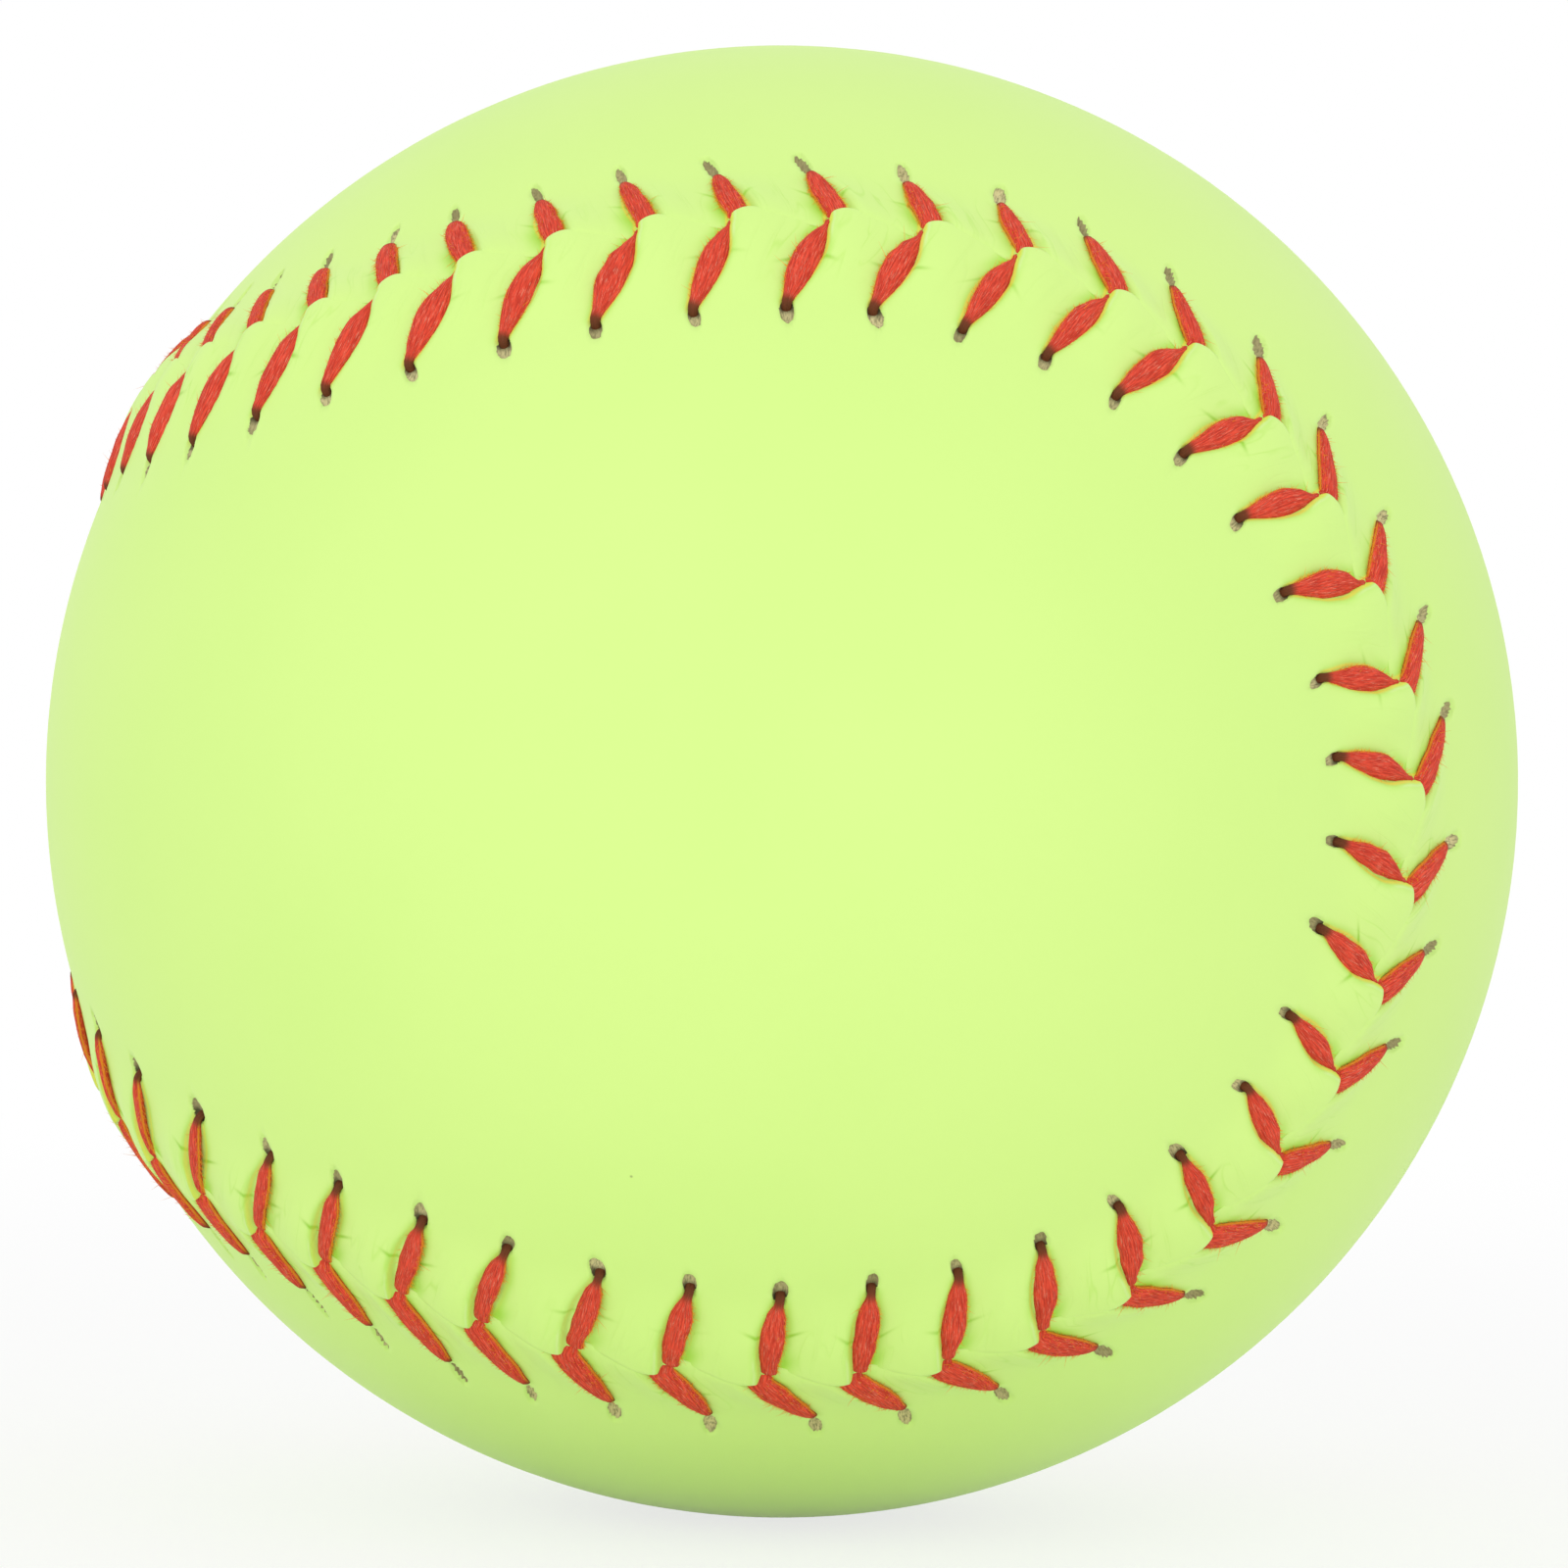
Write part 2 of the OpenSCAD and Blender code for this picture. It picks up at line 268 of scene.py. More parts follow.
class Plan:
    """Adds nodes to one node tree."""

    def __init__(self, tree):
        self.tree = tree

    def node(self, kind, settings=None, sockets=None, out=0):
        node = self.tree.nodes.new(kind)
        for name, value in (settings or {}).items():
            setattr(node, name, value)
        self.feed(node, sockets or {})
        return Wire(self, node, node.outputs[out] if node.outputs else None)

    def feed(self, node, sockets):
        """Gives each named socket of a node its link or its plain value."""
        for name, value in sockets.items():
            if isinstance(value, Wire):
                value = value.socket
            if isinstance(value, bpy.types.NodeSocket):
                self.tree.links.new(value, node.inputs[name])
            else:
                node.inputs[name].default_value = value

    def maths(self, operation, *values):
        return self.node("ShaderNodeMath", {"operation": operation}, dict(enumerate(values)))

    def vector(self, operation, *values, out=0):
        sockets = dict(enumerate(values))
        return self.node("ShaderNodeVectorMath", {"operation": operation}, sockets, out)

    def scale(self, vector, factor):
        sockets = {0: vector, "Scale": factor}
        return self.node("ShaderNodeVectorMath", {"operation": "SCALE"}, sockets)

    def join(self, x, y, z):
        return self.node("ShaderNodeCombineXYZ", {}, {"X": x, "Y": y, "Z": z})

    def parts(self, vector):
        """A vector's three numbers."""
        split = self.node("ShaderNodeSeparateXYZ", {}, {0: vector})
        return [split.out(letter) for letter in "XYZ"]

    def field(self, name, kind="FLOAT"):
        """A named attribute, in a geometry tree."""
        return self.node("GeometryNodeInputNamedAttribute", {"data_type": kind}, {"Name": name})

    def attribute(self, name, out="Fac"):
        """A named attribute, in a material."""
        return self.node("ShaderNodeAttribute", {"attribute_name": name}).out(out)

    def ease(self, value, low, high):
        """0 below low and 1 above high, with a smooth step between."""
        sockets = {"Value": value, "From Min": low, "From Max": high}
        return self.node("ShaderNodeMapRange", {"interpolation_type": "SMOOTHSTEP"}, sockets)

    def bell(self, value, middle, width):
        """1 at the middle, dying away over the width on both sides."""
        off = (value - middle) / width
        return self.maths("EXPONENT", -(off * off))

    def clamp(self, value):
        return self.node("ShaderNodeClamp", {}, {"Value": value})

    def mix(self, factor, first, second):
        """A colour mixed from two, each a wire or plain red, green and blue."""
        first, second = (c if isinstance(c, Wire) else (*c, 1) for c in (first, second))
        sockets = {0: factor, 6: first, 7: second}
        return self.node("ShaderNodeMix", {"data_type": "RGBA"}, sockets, 2)

    def bump(self, height, strength, distance):
        sockets = {"Height": height, "Strength": strength, "Distance": distance}
        return self.node("ShaderNodeBump", {}, sockets)

    def noise(self, vector, scale, detail=2.0, roughness=0.5):
        sockets = {"Vector": vector, "Scale": scale, "Detail": detail, "Roughness": roughness}
        return self.node("ShaderNodeTexNoise", {}, sockets)


def shaded(rgb, factor):
    """A colour made darker or lighter."""
    return tuple(min(c * factor, 1) for c in rgb)


def material(name):
    """A new material, its plan and its principled shader."""
    made = bpy.data.materials.new(name)
    made.use_nodes = True
    shader = made.node_tree.nodes["Principled BSDF"]
    return made, Plan(made.node_tree), shader


def shape_tree(name, inputs):
    """A new geometry tree with a geometry and named number inputs, of which a seed is whole."""
    tree = bpy.data.node_groups.new(name, "GeometryNodeTree")
    face = tree.interface
    kinds = {"Geometry": "NodeSocketGeometry", "Seed": "NodeSocketInt"}
    for label in ("Geometry", *inputs):
        kind = kinds.get(label, "NodeSocketFloat")
        face.new_socket(label, in_out="INPUT", socket_type=kind)
    face.new_socket("Geometry", in_out="OUTPUT", socket_type=kinds["Geometry"])
    plan = Plan(tree)
    return tree, plan, plan.node("NodeGroupInput")


def close_tree(plan, geometry, surface):
    """Ends a geometry tree with real geometry and its material."""
    real = plan.node("GeometryNodeRealizeInstances", {}, {"Geometry": geometry})
    dressed = plan.node("GeometryNodeSetMaterial", {}, {"Geometry": real, "Material": surface})
    plan.node("NodeGroupOutput", {}, {"Geometry": dressed})


def shaped(source, tree, values, name):
    """Runs a geometry tree on an object and returns its result as a plain mesh object."""
    modifier = source.modifiers.new("Shape", "NODES")
    modifier.node_group = tree
    for item in tree.interface.items_tree:
        if item.name in values:
            modifier[item.identifier] = values[item.name]
    view = bpy.context.evaluated_depsgraph_get()
    mesh = bpy.data.meshes.new_from_object(source.evaluated_get(view))
    mesh.name = name
    plain = new_object(name, mesh)
    source.modifiers.remove(modifier)
    bpy.data.objects.remove(source)
    if not mesh.polygons:
        raise RuntimeError(f"the tree for {name} made no faces")
    return plain


def new_object(name, data):
    made = bpy.data.objects.new(name, data)
    bpy.context.scene.collection.objects.link(made)
    return made


def mesh_object(name, points, faces, edges=()):
    mesh = bpy.data.meshes.new(name)
    mesh.from_pydata(points, edges, faces)
    mesh.validate()
    return new_object(name, mesh)


def point_values(mesh, name, values):
    """Stores a number or a vector for each point."""
    data = np.asarray(values, np.float32)
    kind, label = ("FLOAT_VECTOR", "vector") if data.ndim > 1 else ("FLOAT", "value")
    layer = mesh.attributes.new(name, kind, "POINT")
    layer.data.foreach_set(label, data.ravel())


def turn_outwards(mesh):
    """Makes a closed mesh's faces point outwards."""
    work = bmesh.new()
    work.from_mesh(mesh)
    bmesh.ops.recalc_face_normals(work, faces=work.faces)
    work.to_mesh(mesh)
    work.free()


# The seam and the lacing's layout


class Seam:
    """The seam's curve on the ball, by distance along it in metres."""

    def __init__(self, sizes):
        self.sizes = sizes
        self.r = sizes.ball_d / 2
        self.peak = math.pi / 2 - sizes.waist_w / 2 / self.r
        count = STEPS_PER_STITCH * sizes.stitches
        self.turns = np.linspace(0, TURNS, count + 1)
        gaps = np.linalg.norm(np.diff(self.direction(self.turns), axis=0), axis=1)
        self.lengths = np.concatenate([[0], np.cumsum(self.r * gaps)])
        self.total = self.lengths[-1]
        self.pitch = self.total / sizes.stitches
        self.nudge = TURNS / count

    def direction(self, turn):
        lat = self.peak * np.cos(turn)
        lon = turn / 2 + self.sizes.swing * np.sin(2 * turn)
        return np.stack(
            [-np.sin(lat), -np.cos(lat) * np.sin(lon), np.cos(lat) * np.cos(lon)], -1
        )

    def turn(self, s):
        laps = np.floor(s / self.total)
        return np.interp(s - laps * self.total, self.lengths, self.turns) + laps * TURNS

    def ahead(self, s):
        turn = self.turn(s)
        way = self.direction(turn + self.nudge) - self.direction(turn - self.nudge)
        return way / np.linalg.norm(way, axis=-1, keepdims=True)

    def at(self, s, x, r):
        """The point at distance s along the seam, x to its right, at radius r."""
        up = self.direction(self.turn(s))
        right = np.cross(self.ahead(s), up)
        right /= np.linalg.norm(right, axis=-1, keepdims=True)
        a = np.asarray(x / self.r)[..., None]
        return np.asarray(r)[..., None] * (np.cos(a) * up + np.sin(a) * right)

    def stitch(self, k):
        """Where stitch k has its point, in metres along the seam."""
        s = (k + FIRST_STITCH) * self.pitch
        return s - self.sizes.drift * np.sin(self.turn(s))


def swell(turn, middle, width):
    """1 at one place round the whole seam, dying away over the width on both sides."""
    return np.exp(8 / width**2 * (np.cos((turn - middle) / 2) - 1))


def twin_swell(turn, middle, sharpness):
    """1 at two places, half of the seam apart, dying away the faster the sharper it is."""
    return np.exp(sharpness * (np.cos(turn - middle) - 1))


def strays(turn, swells):
    """What a list of local strays adds up to, in mm."""
    return sum(size * swell(turn, math.radians(place), width) for size, place, width in swells)


def bluntness(turn):
    """1 along the lower side of the first panel's lobes, where limbs end bluntly at the seam."""
    return twin_swell(turn, 4.8, 4.0)


class Lacing:
    """Places along and across the seam in mm, as the two sides' limbs see them."""

    def __init__(self, seam):
        self.seam = seam
        self.sizes = seam.sizes
        self.count = seam.sizes.stitches
        self.pitch = seam.pitch / MM
        self.lap = self.sizes.lap / MM
        which = np.arange(-SPARE, self.count + SPARE + 1)
        # Each stitch strays a little: its point, then each side's hole along and across
        self.stray = np.random.default_rng(STRAY_SEED).uniform(-1, 1, (self.count, 5))
        self.stray = self.stray[which % self.count] * self.sizes.unevenness / MM
        self.places = seam.stitch(which) / MM + self.stray[:, 0] * 0.6
        self.places = self.places + strays(seam.turn(self.places * MM), STITCH_STRAYS)

    def strayed(self, s, column):
        return np.interp(s, self.places, self.stray[:, column])

    def hole_v(self, side):
        """How far a side's holes are from the edges' lap, in mm."""
        return self.sizes.hole_inset / MM + (self.lap if side > 0 else EDGE_GAP - self.lap)

    def hole_a(self, s, side):
        """How far ahead of its stitch's point a hole lies, in mm."""
        turn = self.seam.turn(s * MM)
        lag, skew = self.sizes.hole_lag / MM, self.sizes.hole_skew / MM
        if side > 0:
            ahead = -lag - skew * 0.83 * np.sin(turn - 0.35)
        else:
            ahead = -lag - skew + skew * 2.3 * twin_swell(turn, 1.54, 6.0)
        return ahead + strays(turn, HOLE_STRAYS[side]) + self.strayed(s, 1 if side > 0 else 2)

    def reach(self, s, side):
        """How much farther than hole_v a side's hole lies from the seam, in mm."""
        away = strays(self.seam.turn(s * MM), REACH_STRAYS[side])
        return self.strayed(s, 3 if side > 0 else 4) + away

    def shear(self, s, v, side):
        """How far the limb's middle line has fallen back at inset v."""
        share = np.clip((v - EDGE_SWING) / (self.hole_v(side) - EDGE_SWING), 0, 1)
        if side < 0:
            share = share + 0.03 * np.sin(np.pi * share)
        return LIMB_END[side] + (self.hole_a(s, side) - LIMB_END[side]) * share

    def point(self, s, v, side, height):
        """The point at inset v from the lap on a side, at a height over the ball, all mm."""
        share = np.clip(v / self.hole_v(side), 0, 1)
        x = side * (v + self.reach(s, side) * share) - self.lap
        x = x + strays(self.seam.turn(s * MM), SEAM_BOW)
        return self.seam.at(s * MM, x * MM, self.seam.r + height * MM)

    def columns(self):
        """Each column's place along the seam, its place across its limb, and its stitch."""
        across = np.tile(COLUMNS, self.count)
        owner = np.repeat(np.arange(self.count), len(COLUMNS))
        behind, here, ahead = (self.places[owner + SPARE + way] for way in (-1, 0, 1))
        gap = np.where(across > 0, ahead - here, here - behind)
        return here + across * gap / self.pitch, across, owner


def flap_edge(a, pitch):
    """The first panel's edge, in mm in from the lap line, at a mm ahead of a stitch's point.

    Ahead of each stitch its corner rises in a round arc over the other limb's end, and then
    it falls back slowly to the next stitch.
    """
    a = (a - ARC_START) % pitch + ARC_START
    arc_run = ARC_END - ARC_START
    share = np.clip((ARC_END - a) / arc_run, 0, 1)
    arc = EDGE_SWING - FLAP_RISE * np.sqrt(1 - share * share)
    back = np.clip((a - ARC_END) / (pitch - arc_run), 0, 1)
    fall = EDGE_SWING - FLAP_RISE + FLAP_RISE * back**1.3
    return np.where(a < ARC_END, arc, fall)


# The cover panels


def panel_rows(lacing, side):
    """The panel's fine band: its places, insets and distances from the lip, and its columns."""
    s, c, owner = lacing.columns()
    rows = np.array(ROWS)[:, None] + 0 * s[None, :]
    flap = flap_edge(c + LIMB_END[side], lacing.pitch)
    edge = flap if side > 0 else -flap - TUCK
    v = rows + edge * np.exp(-rows / EDGE_FADE)
    lip = rows if side > 0 else v + flap
    return s + lacing.shear(s[None, :], v, side), v, lip, c, owner


class Shell:
    """Collects a panel's points and faces."""

    def __init__(self, first, lobe_end):
        self.points, self.total, self.faces = [first], len(first), []
        self.lobe_end = lobe_end

    def add(self, block):
        """Adds points and returns their numbers."""
        self.points.append(block)
        self.total += len(block)
        return np.arange(self.total - len(block), self.total)

    def face(self, ring, flip):
        self.faces.append([int(i) for i in (ring[::-1] if flip else ring)])

    def quads(self, low, high, flip=False):
        """Faces between two loops of points with the same count."""
        for i in range(len(low)):
            j = (i + 1) % len(low)
            self.face([low[i], low[j], high[j], high[i]], flip)

    def step_down(self, fine, coarse, flip=False):
        """Faces between a fine loop and one with a quarter of its points."""
        for i in range(len(coarse)):
            f = [fine[(i * COARSE + q) % len(fine)] for q in range(COARSE + 1)]
            near, far = coarse[i], coarse[(i + 1) % len(coarse)]
            for ring in (
                [f[0], f[1], near], [f[1], f[2], near], [f[2], far, near],
                [f[2], f[3], far], [f[3], f[4], far],
            ):
                self.face(ring, flip)

    def close(self, loop, radius, flip=False):
        """Faces across the panel from a coarse loop, by arcs between facing points."""
        ways = np.concatenate(self.points)[loop]
        ways /= np.linalg.norm(ways, axis=1, keepdims=True)
        count, half = len(loop), len(loop) // 2
        tip = int(np.argmax(ways @ self.lobe_end))
        share = np.linspace(0, 1, SPINE_CELLS + 1)[1:-1, None]
        arcs = [[loop[tip]] * (SPINE_CELLS + 1)]
        for j in range(1, half):
            one, two = (tip + j) % count, (tip - j) % count
            angle = math.acos(np.clip(ways[one] @ ways[two], -1, 1))
            line = np.sin((1 - share) * angle) * ways[one] + np.sin(share * angle) * ways[two]
            arcs.append([loop[one], *self.add(line / math.sin(angle) * radius), loop[two]])
        arcs.append([loop[(tip + half) % count]] * (SPINE_CELLS + 1))
        for one, two in zip(arcs, arcs[1:]):
            for i in range(SPINE_CELLS):
                ring = list(dict.fromkeys([one[i], two[i], two[i + 1], one[i + 1]]))
                self.face(ring, not flip)


def lobe_end(seam, side):
    """A direction just inside the end of one of a panel's lobes."""
    turn = math.pi if side > 0 else TURNS
    place = seam.lengths[np.argmin(abs(seam.turns - turn))]
    return seam.at(place, side * LOBE_STEP, 1.0)


def panel_blank(lacing, side, name):
    """One panel's shell laid out on the ball, with the attributes that its relief follows."""
    seam = lacing.seam
    s, v, lip, c, owner = panel_rows(lacing, side)
    rows, n = v.shape
    outer = lacing.point(s, v, side, 0 * v).reshape(-1, 3)
    shell = Shell(outer, lobe_end(seam, side))
    grid = np.arange(rows * n).reshape(rows, n)
    for low, high in zip(grid, grid[1:]):
        shell.quads(low, high)
    coarse_s, coarse_v = s[-1][::COARSE], v[-1][::COARSE]
    ring = shell.add(lacing.point(coarse_s, coarse_v + RING_STEP, side, 0 * coarse_s))
    shell.step_down(grid[-1], ring)
    shell.close(ring, seam.r)
    shown = shell.total
    wall = grid[0]
    for depth in WALL_DEPTHS:
        lower = shell.add(lacing.point(s[0], v[0], side, -depth - 0 * s[0]))
        shell.quads(wall, lower, True)
        wall = lower
    inner_r = seam.r - lacing.sizes.cover_t
    bottom = shell.add(outer[grid[0][::COARSE]] / seam.r * inner_r)
    shell.step_down(wall, bottom, True)
    shell.close(bottom, inner_r, True)
    made = mesh_object(name, np.concatenate(shell.points), shell.faces)
    turn_outwards(made.data)

    whim = np.random.default_rng(WHIM_SEED + side).random((lacing.count, 3))
    on_band = {
        "across": (np.tile(c, rows), 0.0),
        "inset": (v.ravel(), FAR),
        "lip": (lip.ravel(), FAR),
        "blunt": (bluntness(seam.turn(s * MM)).ravel(), 0.0),
        "whim": (np.tile(whim[owner], (rows, 1)), 0.5),
    }
    for label, (values, elsewhere) in on_band.items():
        filled = np.full((shell.total, *values.shape[1:]), elsewhere)
        filled[: rows * n] = values
        point_values(made.data, label, filled)
    point_values(made.data, "outside", np.arange(shell.total) < shown)
    lay_lace_map(made.data, rows, n, v, c, lacing.pitch)
    return made


def lay_lace_map(mesh, rows, n, v, c, pitch):
    """A UV map in mm: across each limb, and in from the seam."""
    corners = np.zeros(len(mesh.loops), np.int32)
    mesh.loops.foreach_get("vertex_index", corners)
    sizes = np.zeros(len(mesh.polygons), np.int32)
    mesh.polygons.foreach_get("loop_total", sizes)
    face = np.repeat(np.arange(len(sizes)), sizes)
    banded = corners < rows * n
    column = np.where(banded, corners % n, 0)
    u = np.where(banded, c[column], 0.0)
    # A face past the last column of a stitch takes the next stitch's first column as its own
    low, high = np.full(len(sizes), 1e9), np.full(len(sizes), -1e9)
    np.minimum.at(low, face[banded], u[banded])
    np.maximum.at(high, face[banded], u[banded])
    wraps = (high - low) > pitch / 2
    u = np.where(banded & wraps[face] & (u < 0), u + pitch, u)
    w = np.where(banded, v.ravel()[np.where(banded, corners, 0)], FAR)
    layer = mesh.uv_layers.new(name="lace")
    layer.data.foreach_set("uv", np.stack([u, w], 1).astype(np.float32).ravel())


def limb_half_width(plan, inset, hole_v, side, blunt):
    """Half of a limb's width in mm, from the seam to the awl hole."""
    if side > 0:
        full = plan.ease(inset, 0.4, 3.2) * 0.77 + 0.12
        full = full + (1 - plan.ease(inset, 0.8, 3.4)) * blunt * 0.5
        return full - plan.ease(inset, hole_v * 0.6, hole_v * 1.03) * 0.5
    full = plan.ease(inset, 0.2, 1.6) * 0.12 + 0.74
    return full - plan.ease(inset, hole_v * 0.4, hole_v * 1.02) * 0.58


def tongue(across, inset, whims, hole_v, side, blunt):
    """How far a place is from the middle of the torn slot past a limb's hole, 1 at its rim."""
    lean, wide, long = whims
    past = inset - hole_v
    if side > 0:
        x = (across + past * (lean * 0.5 - 0.3)) / (wide * 0.16 + 0.38)
        y = (past - 0.55) / (long * 0.2 + 0.8)
    else:
        x = (across + past * (lean * 0.35 + 0.05)) / (wide * 0.14 + 0.3)
        y = (past - 1.2 - blunt * 0.4) / (long * 0.2 + 0.95)
    return x * x + y * y


def panel_tree(side, surface, hole_v, pitch):
    """The cover's relief: welt, pillows, lips, awl holes and puckers."""
    inputs = ("Welt height", "Pillow height", "Lip depth", "Hole depth")
    tree, plan, given = shape_tree("Cover relief", inputs)
    across, inset, lip, blunt = map(plan.field, ("across", "inset", "lip", "blunt"))
    half = limb_half_width(plan, inset, hole_v, side, blunt)
    # The pillow is steepest beside the limb behind it and dies away towards the next limb
    over = 0.2 - plan.ease(inset, 1.0, 3.5) * 0.1 if side > 0 else -0.02
    share = plan.maths("FRACT", (across - half + over) / pitch + 1)
    steep, top = (0.045, 0.2) if side > 0 else (0.09, 0.0)
    pillow = plan.ease(share, 0, steep) * (1 - plan.ease(share, top, top + 0.56))
    pillow = pillow * (1 - plan.ease(inset, 0.8, hole_v + 1.2))
    welt = 1 - plan.ease(inset, 0, hole_v + 0.6)
    height = welt * given.out("Welt height") + pillow * given.out("Pillow height")
    dimple = plan.bell(across, -0.85, 0.5) * plan.bell(inset, 0.7, 0.8)
    height = height - dimple * DIMPLE_DEPTH * MM
    lip_start, lip_end, deep = (0, 0.2, 1) if side > 0 else (-0.33, 0.05, 1.5)
    roll = 1 - plan.ease(lip, lip_start, lip_end)
    height = height - roll * given.out("Lip depth") * deep
    whims = plan.parts(plan.field("whim", "FLOAT_VECTOR"))
    slot = 1 - plan.ease(tongue(across, inset, whims, hole_v, side, blunt), 0.55, 1.25)
    height = height - slot * given.out("Hole depth")
    place = plan.node("GeometryNodeInputPosition")
    wrinkle = plan.noise(place, 420.0) - 0.5
    near = plan.bell(inset, 3.0, 3.2) * (1 - plan.ease(abs(across), 0.9, 2.2))
    height = (height + wrinkle * near * WRINKLE_DEPTH * MM) * plan.field("outside")
    offset = plan.scale(plan.vector("NORMALIZE", place), height)
    sockets = {"Geometry": given.out("Geometry"), "Offset": offset}
    moved = plan.node("GeometryNodeSetPosition", {}, sockets)
    smooth = plan.node("GeometryNodeSetShadeSmooth", {}, {"Geometry": moved})
    close_tree(plan, smooth, surface)
    return tree


def cover_material(name, colours, hole_v, side):
    """Coated leather with creases in painted shade, a painted orange glow along the limbs, a
    painted highlight on the lip and torn awl holes with painted shade at the thread.
    """
    made, plan, shader = material(name)
    coat, backing = colours.cover, colours.backing
    place = plan.node("ShaderNodeTexCoord").out("Object")
    across, inset = plan.parts(plan.node("ShaderNodeUVMap", {"uv_map": "lace"}))[:2]
    whims = plan.parts(plan.attribute("whim", "Vector"))
    whim_x, whim_y, whim_z = whims
    blunt = plan.attribute("blunt")
    half = limb_half_width(plan, inset, hole_v, side, blunt)
    off = abs(across) - half

    mottle = plan.noise(place, 38.0, 3.0)
    worn = (coat[0] * 0.93, coat[1] * 0.985, coat[2] * 0.9)
    tone = plan.mix(plan.ease(mottle, 0.35, 0.68) * 0.35, coat, worn)
    # Painted shade where the limbs press into the cover, most of all behind their points
    on_limb = 1 - plan.ease(inset, hole_v * 0.93, hole_v * 1.08)
    beside = plan.bell(off, 0.0, 0.32) * on_limb
    behind = plan.bell(across, -half - 0.4, 0.55) * plan.bell(inset, 0.9, 1.1)
    # Short puckers run out from the limb's widest part, drawn only as painted shade
    slant = off * (whim_x - 0.2) + whim_y * 0.8 + hole_v * 0.42
    pucker = plan.bell(inset, slant, 0.13) * plan.bell(off, 0.2, 0.6)
    pucker = pucker * plan.ease(whim_z, 0.2, 0.6)
    painted_shade = plan.clamp(beside * 0.6 + behind * (0.85 if side > 0 else 0.65) + pucker * 0.8)
    # The painted shade is laid on in the deeper yellow-green of the creases
    tone = plan.mix(painted_shade * plan.ease(whim_x, -0.8, 0.7), tone, colours.crease_shade)
    # The puckers' own painted shade, deepest on the first panel
    tone = plan.mix(pucker * (0.35 if side > 0 else 0.15), tone, PUCKER_PAINTED_SHADE)
    # A painted orange glow shows as a thin hem along the limb's edges
    glow_hem = plan.bell(off, 0.0, 0.1) * on_limb * (1 - blunt * 0.85)
    tone = plan.mix(glow_hem * 0.6, tone, PAINTED_GLOW)
    if side > 0:
        # A painted highlight where the lip's cut edge catches the light
        rim_light = plan.bell(across - half + 0.03, 0.24, 0.09) * (1 - plan.ease(inset, 1.4, 2.4))
        tone = plan.mix(rim_light * 0.3, tone, colours.lip)

    # A few long soft creases fan out from each stitch, with painted crease shade along them
    fan = plan.join(across * 0.75, inset * 0.16, whim_y * 9.0)
    line = plan.bell(plan.noise(fan, 1.1, 1.0), 0.5, 0.022) * plan.bell(inset, 2.2, 1.9)
    tone = plan.mix(line * plan.ease(whim_z, 0.2, 0.9) * 0.3, tone, colours.crease_shade)

    # The awl hole: a ragged slot that shows the leather's bare fibres, with painted shade at the
    # thread
    ragged = plan.noise(plan.join(across, inset, whim_z * 7.0), 3.2, 3.0) - 0.5
    slot = tongue(across, inset, whims, hole_v, side, blunt) + ragged * 0.5
    in_slot = 1 - plan.ease(slot, 0.85, 1.0)
    fibre = plan.noise(plan.join(across * 5.0, inset * 1.2, whim_y * 5.0), 2.4, 3.0)
    bare = plan.mix(plan.ease(fibre, 0.3, 0.6), shaded(backing, 0.75), shaded(backing, 1.8))
    bare = plan.mix(plan.ease(slot, 0.6, 0.95) * 0.4, bare, SLOT_RIM)
    bare = plan.mix(plan.ease(whim_x, 0.1, 0.9) * 0.7, bare, SLOT_SOIL)
    # Painted shade deep in the hole, where the thread goes in
    dark = 1 - plan.ease(inset, hole_v + 0.1, hole_v + 0.75)
    bare = plan.mix(dark * 0.9, bare, HOLE_SHADE)
    torn = in_slot
    if side < 0:
        neck = plan.bell(across, 0.0, 0.09) * plan.bell(inset, hole_v + 0.1, 0.4)
        torn = plan.clamp(in_slot + neck * 0.7)
    tone = plan.mix(torn, tone, bare)

    # A few dark specks
    speck = plan.node("ShaderNodeTexVoronoi", {}, {"Vector": place, "Scale": 130.0})
    rare = plan.ease(plan.noise(place, 55.0, 0.0), 0.66, 0.68)
    dots = (1 - plan.ease(speck.out("Distance"), 0.012, 0.024)) * rare
    tone = plan.mix(dots * 0.8, tone, SPECK)

    relief = plan.noise(place, 2600.0, 2.0, 0.6) * 0.12 + plan.noise(place, 300.0) * 0.35
    relief = relief - line * 0.35 + fibre * in_slot * 1.2
    plan.feed(shader, {
        "Base Color": tone, "Roughness": 0.44 + mottle * 0.1 + in_slot * 0.4,
        "Normal": plan.bump(relief, 0.22, 0.0002), "Specular IOR Level": 0.35,
    })
    return made


# The threads


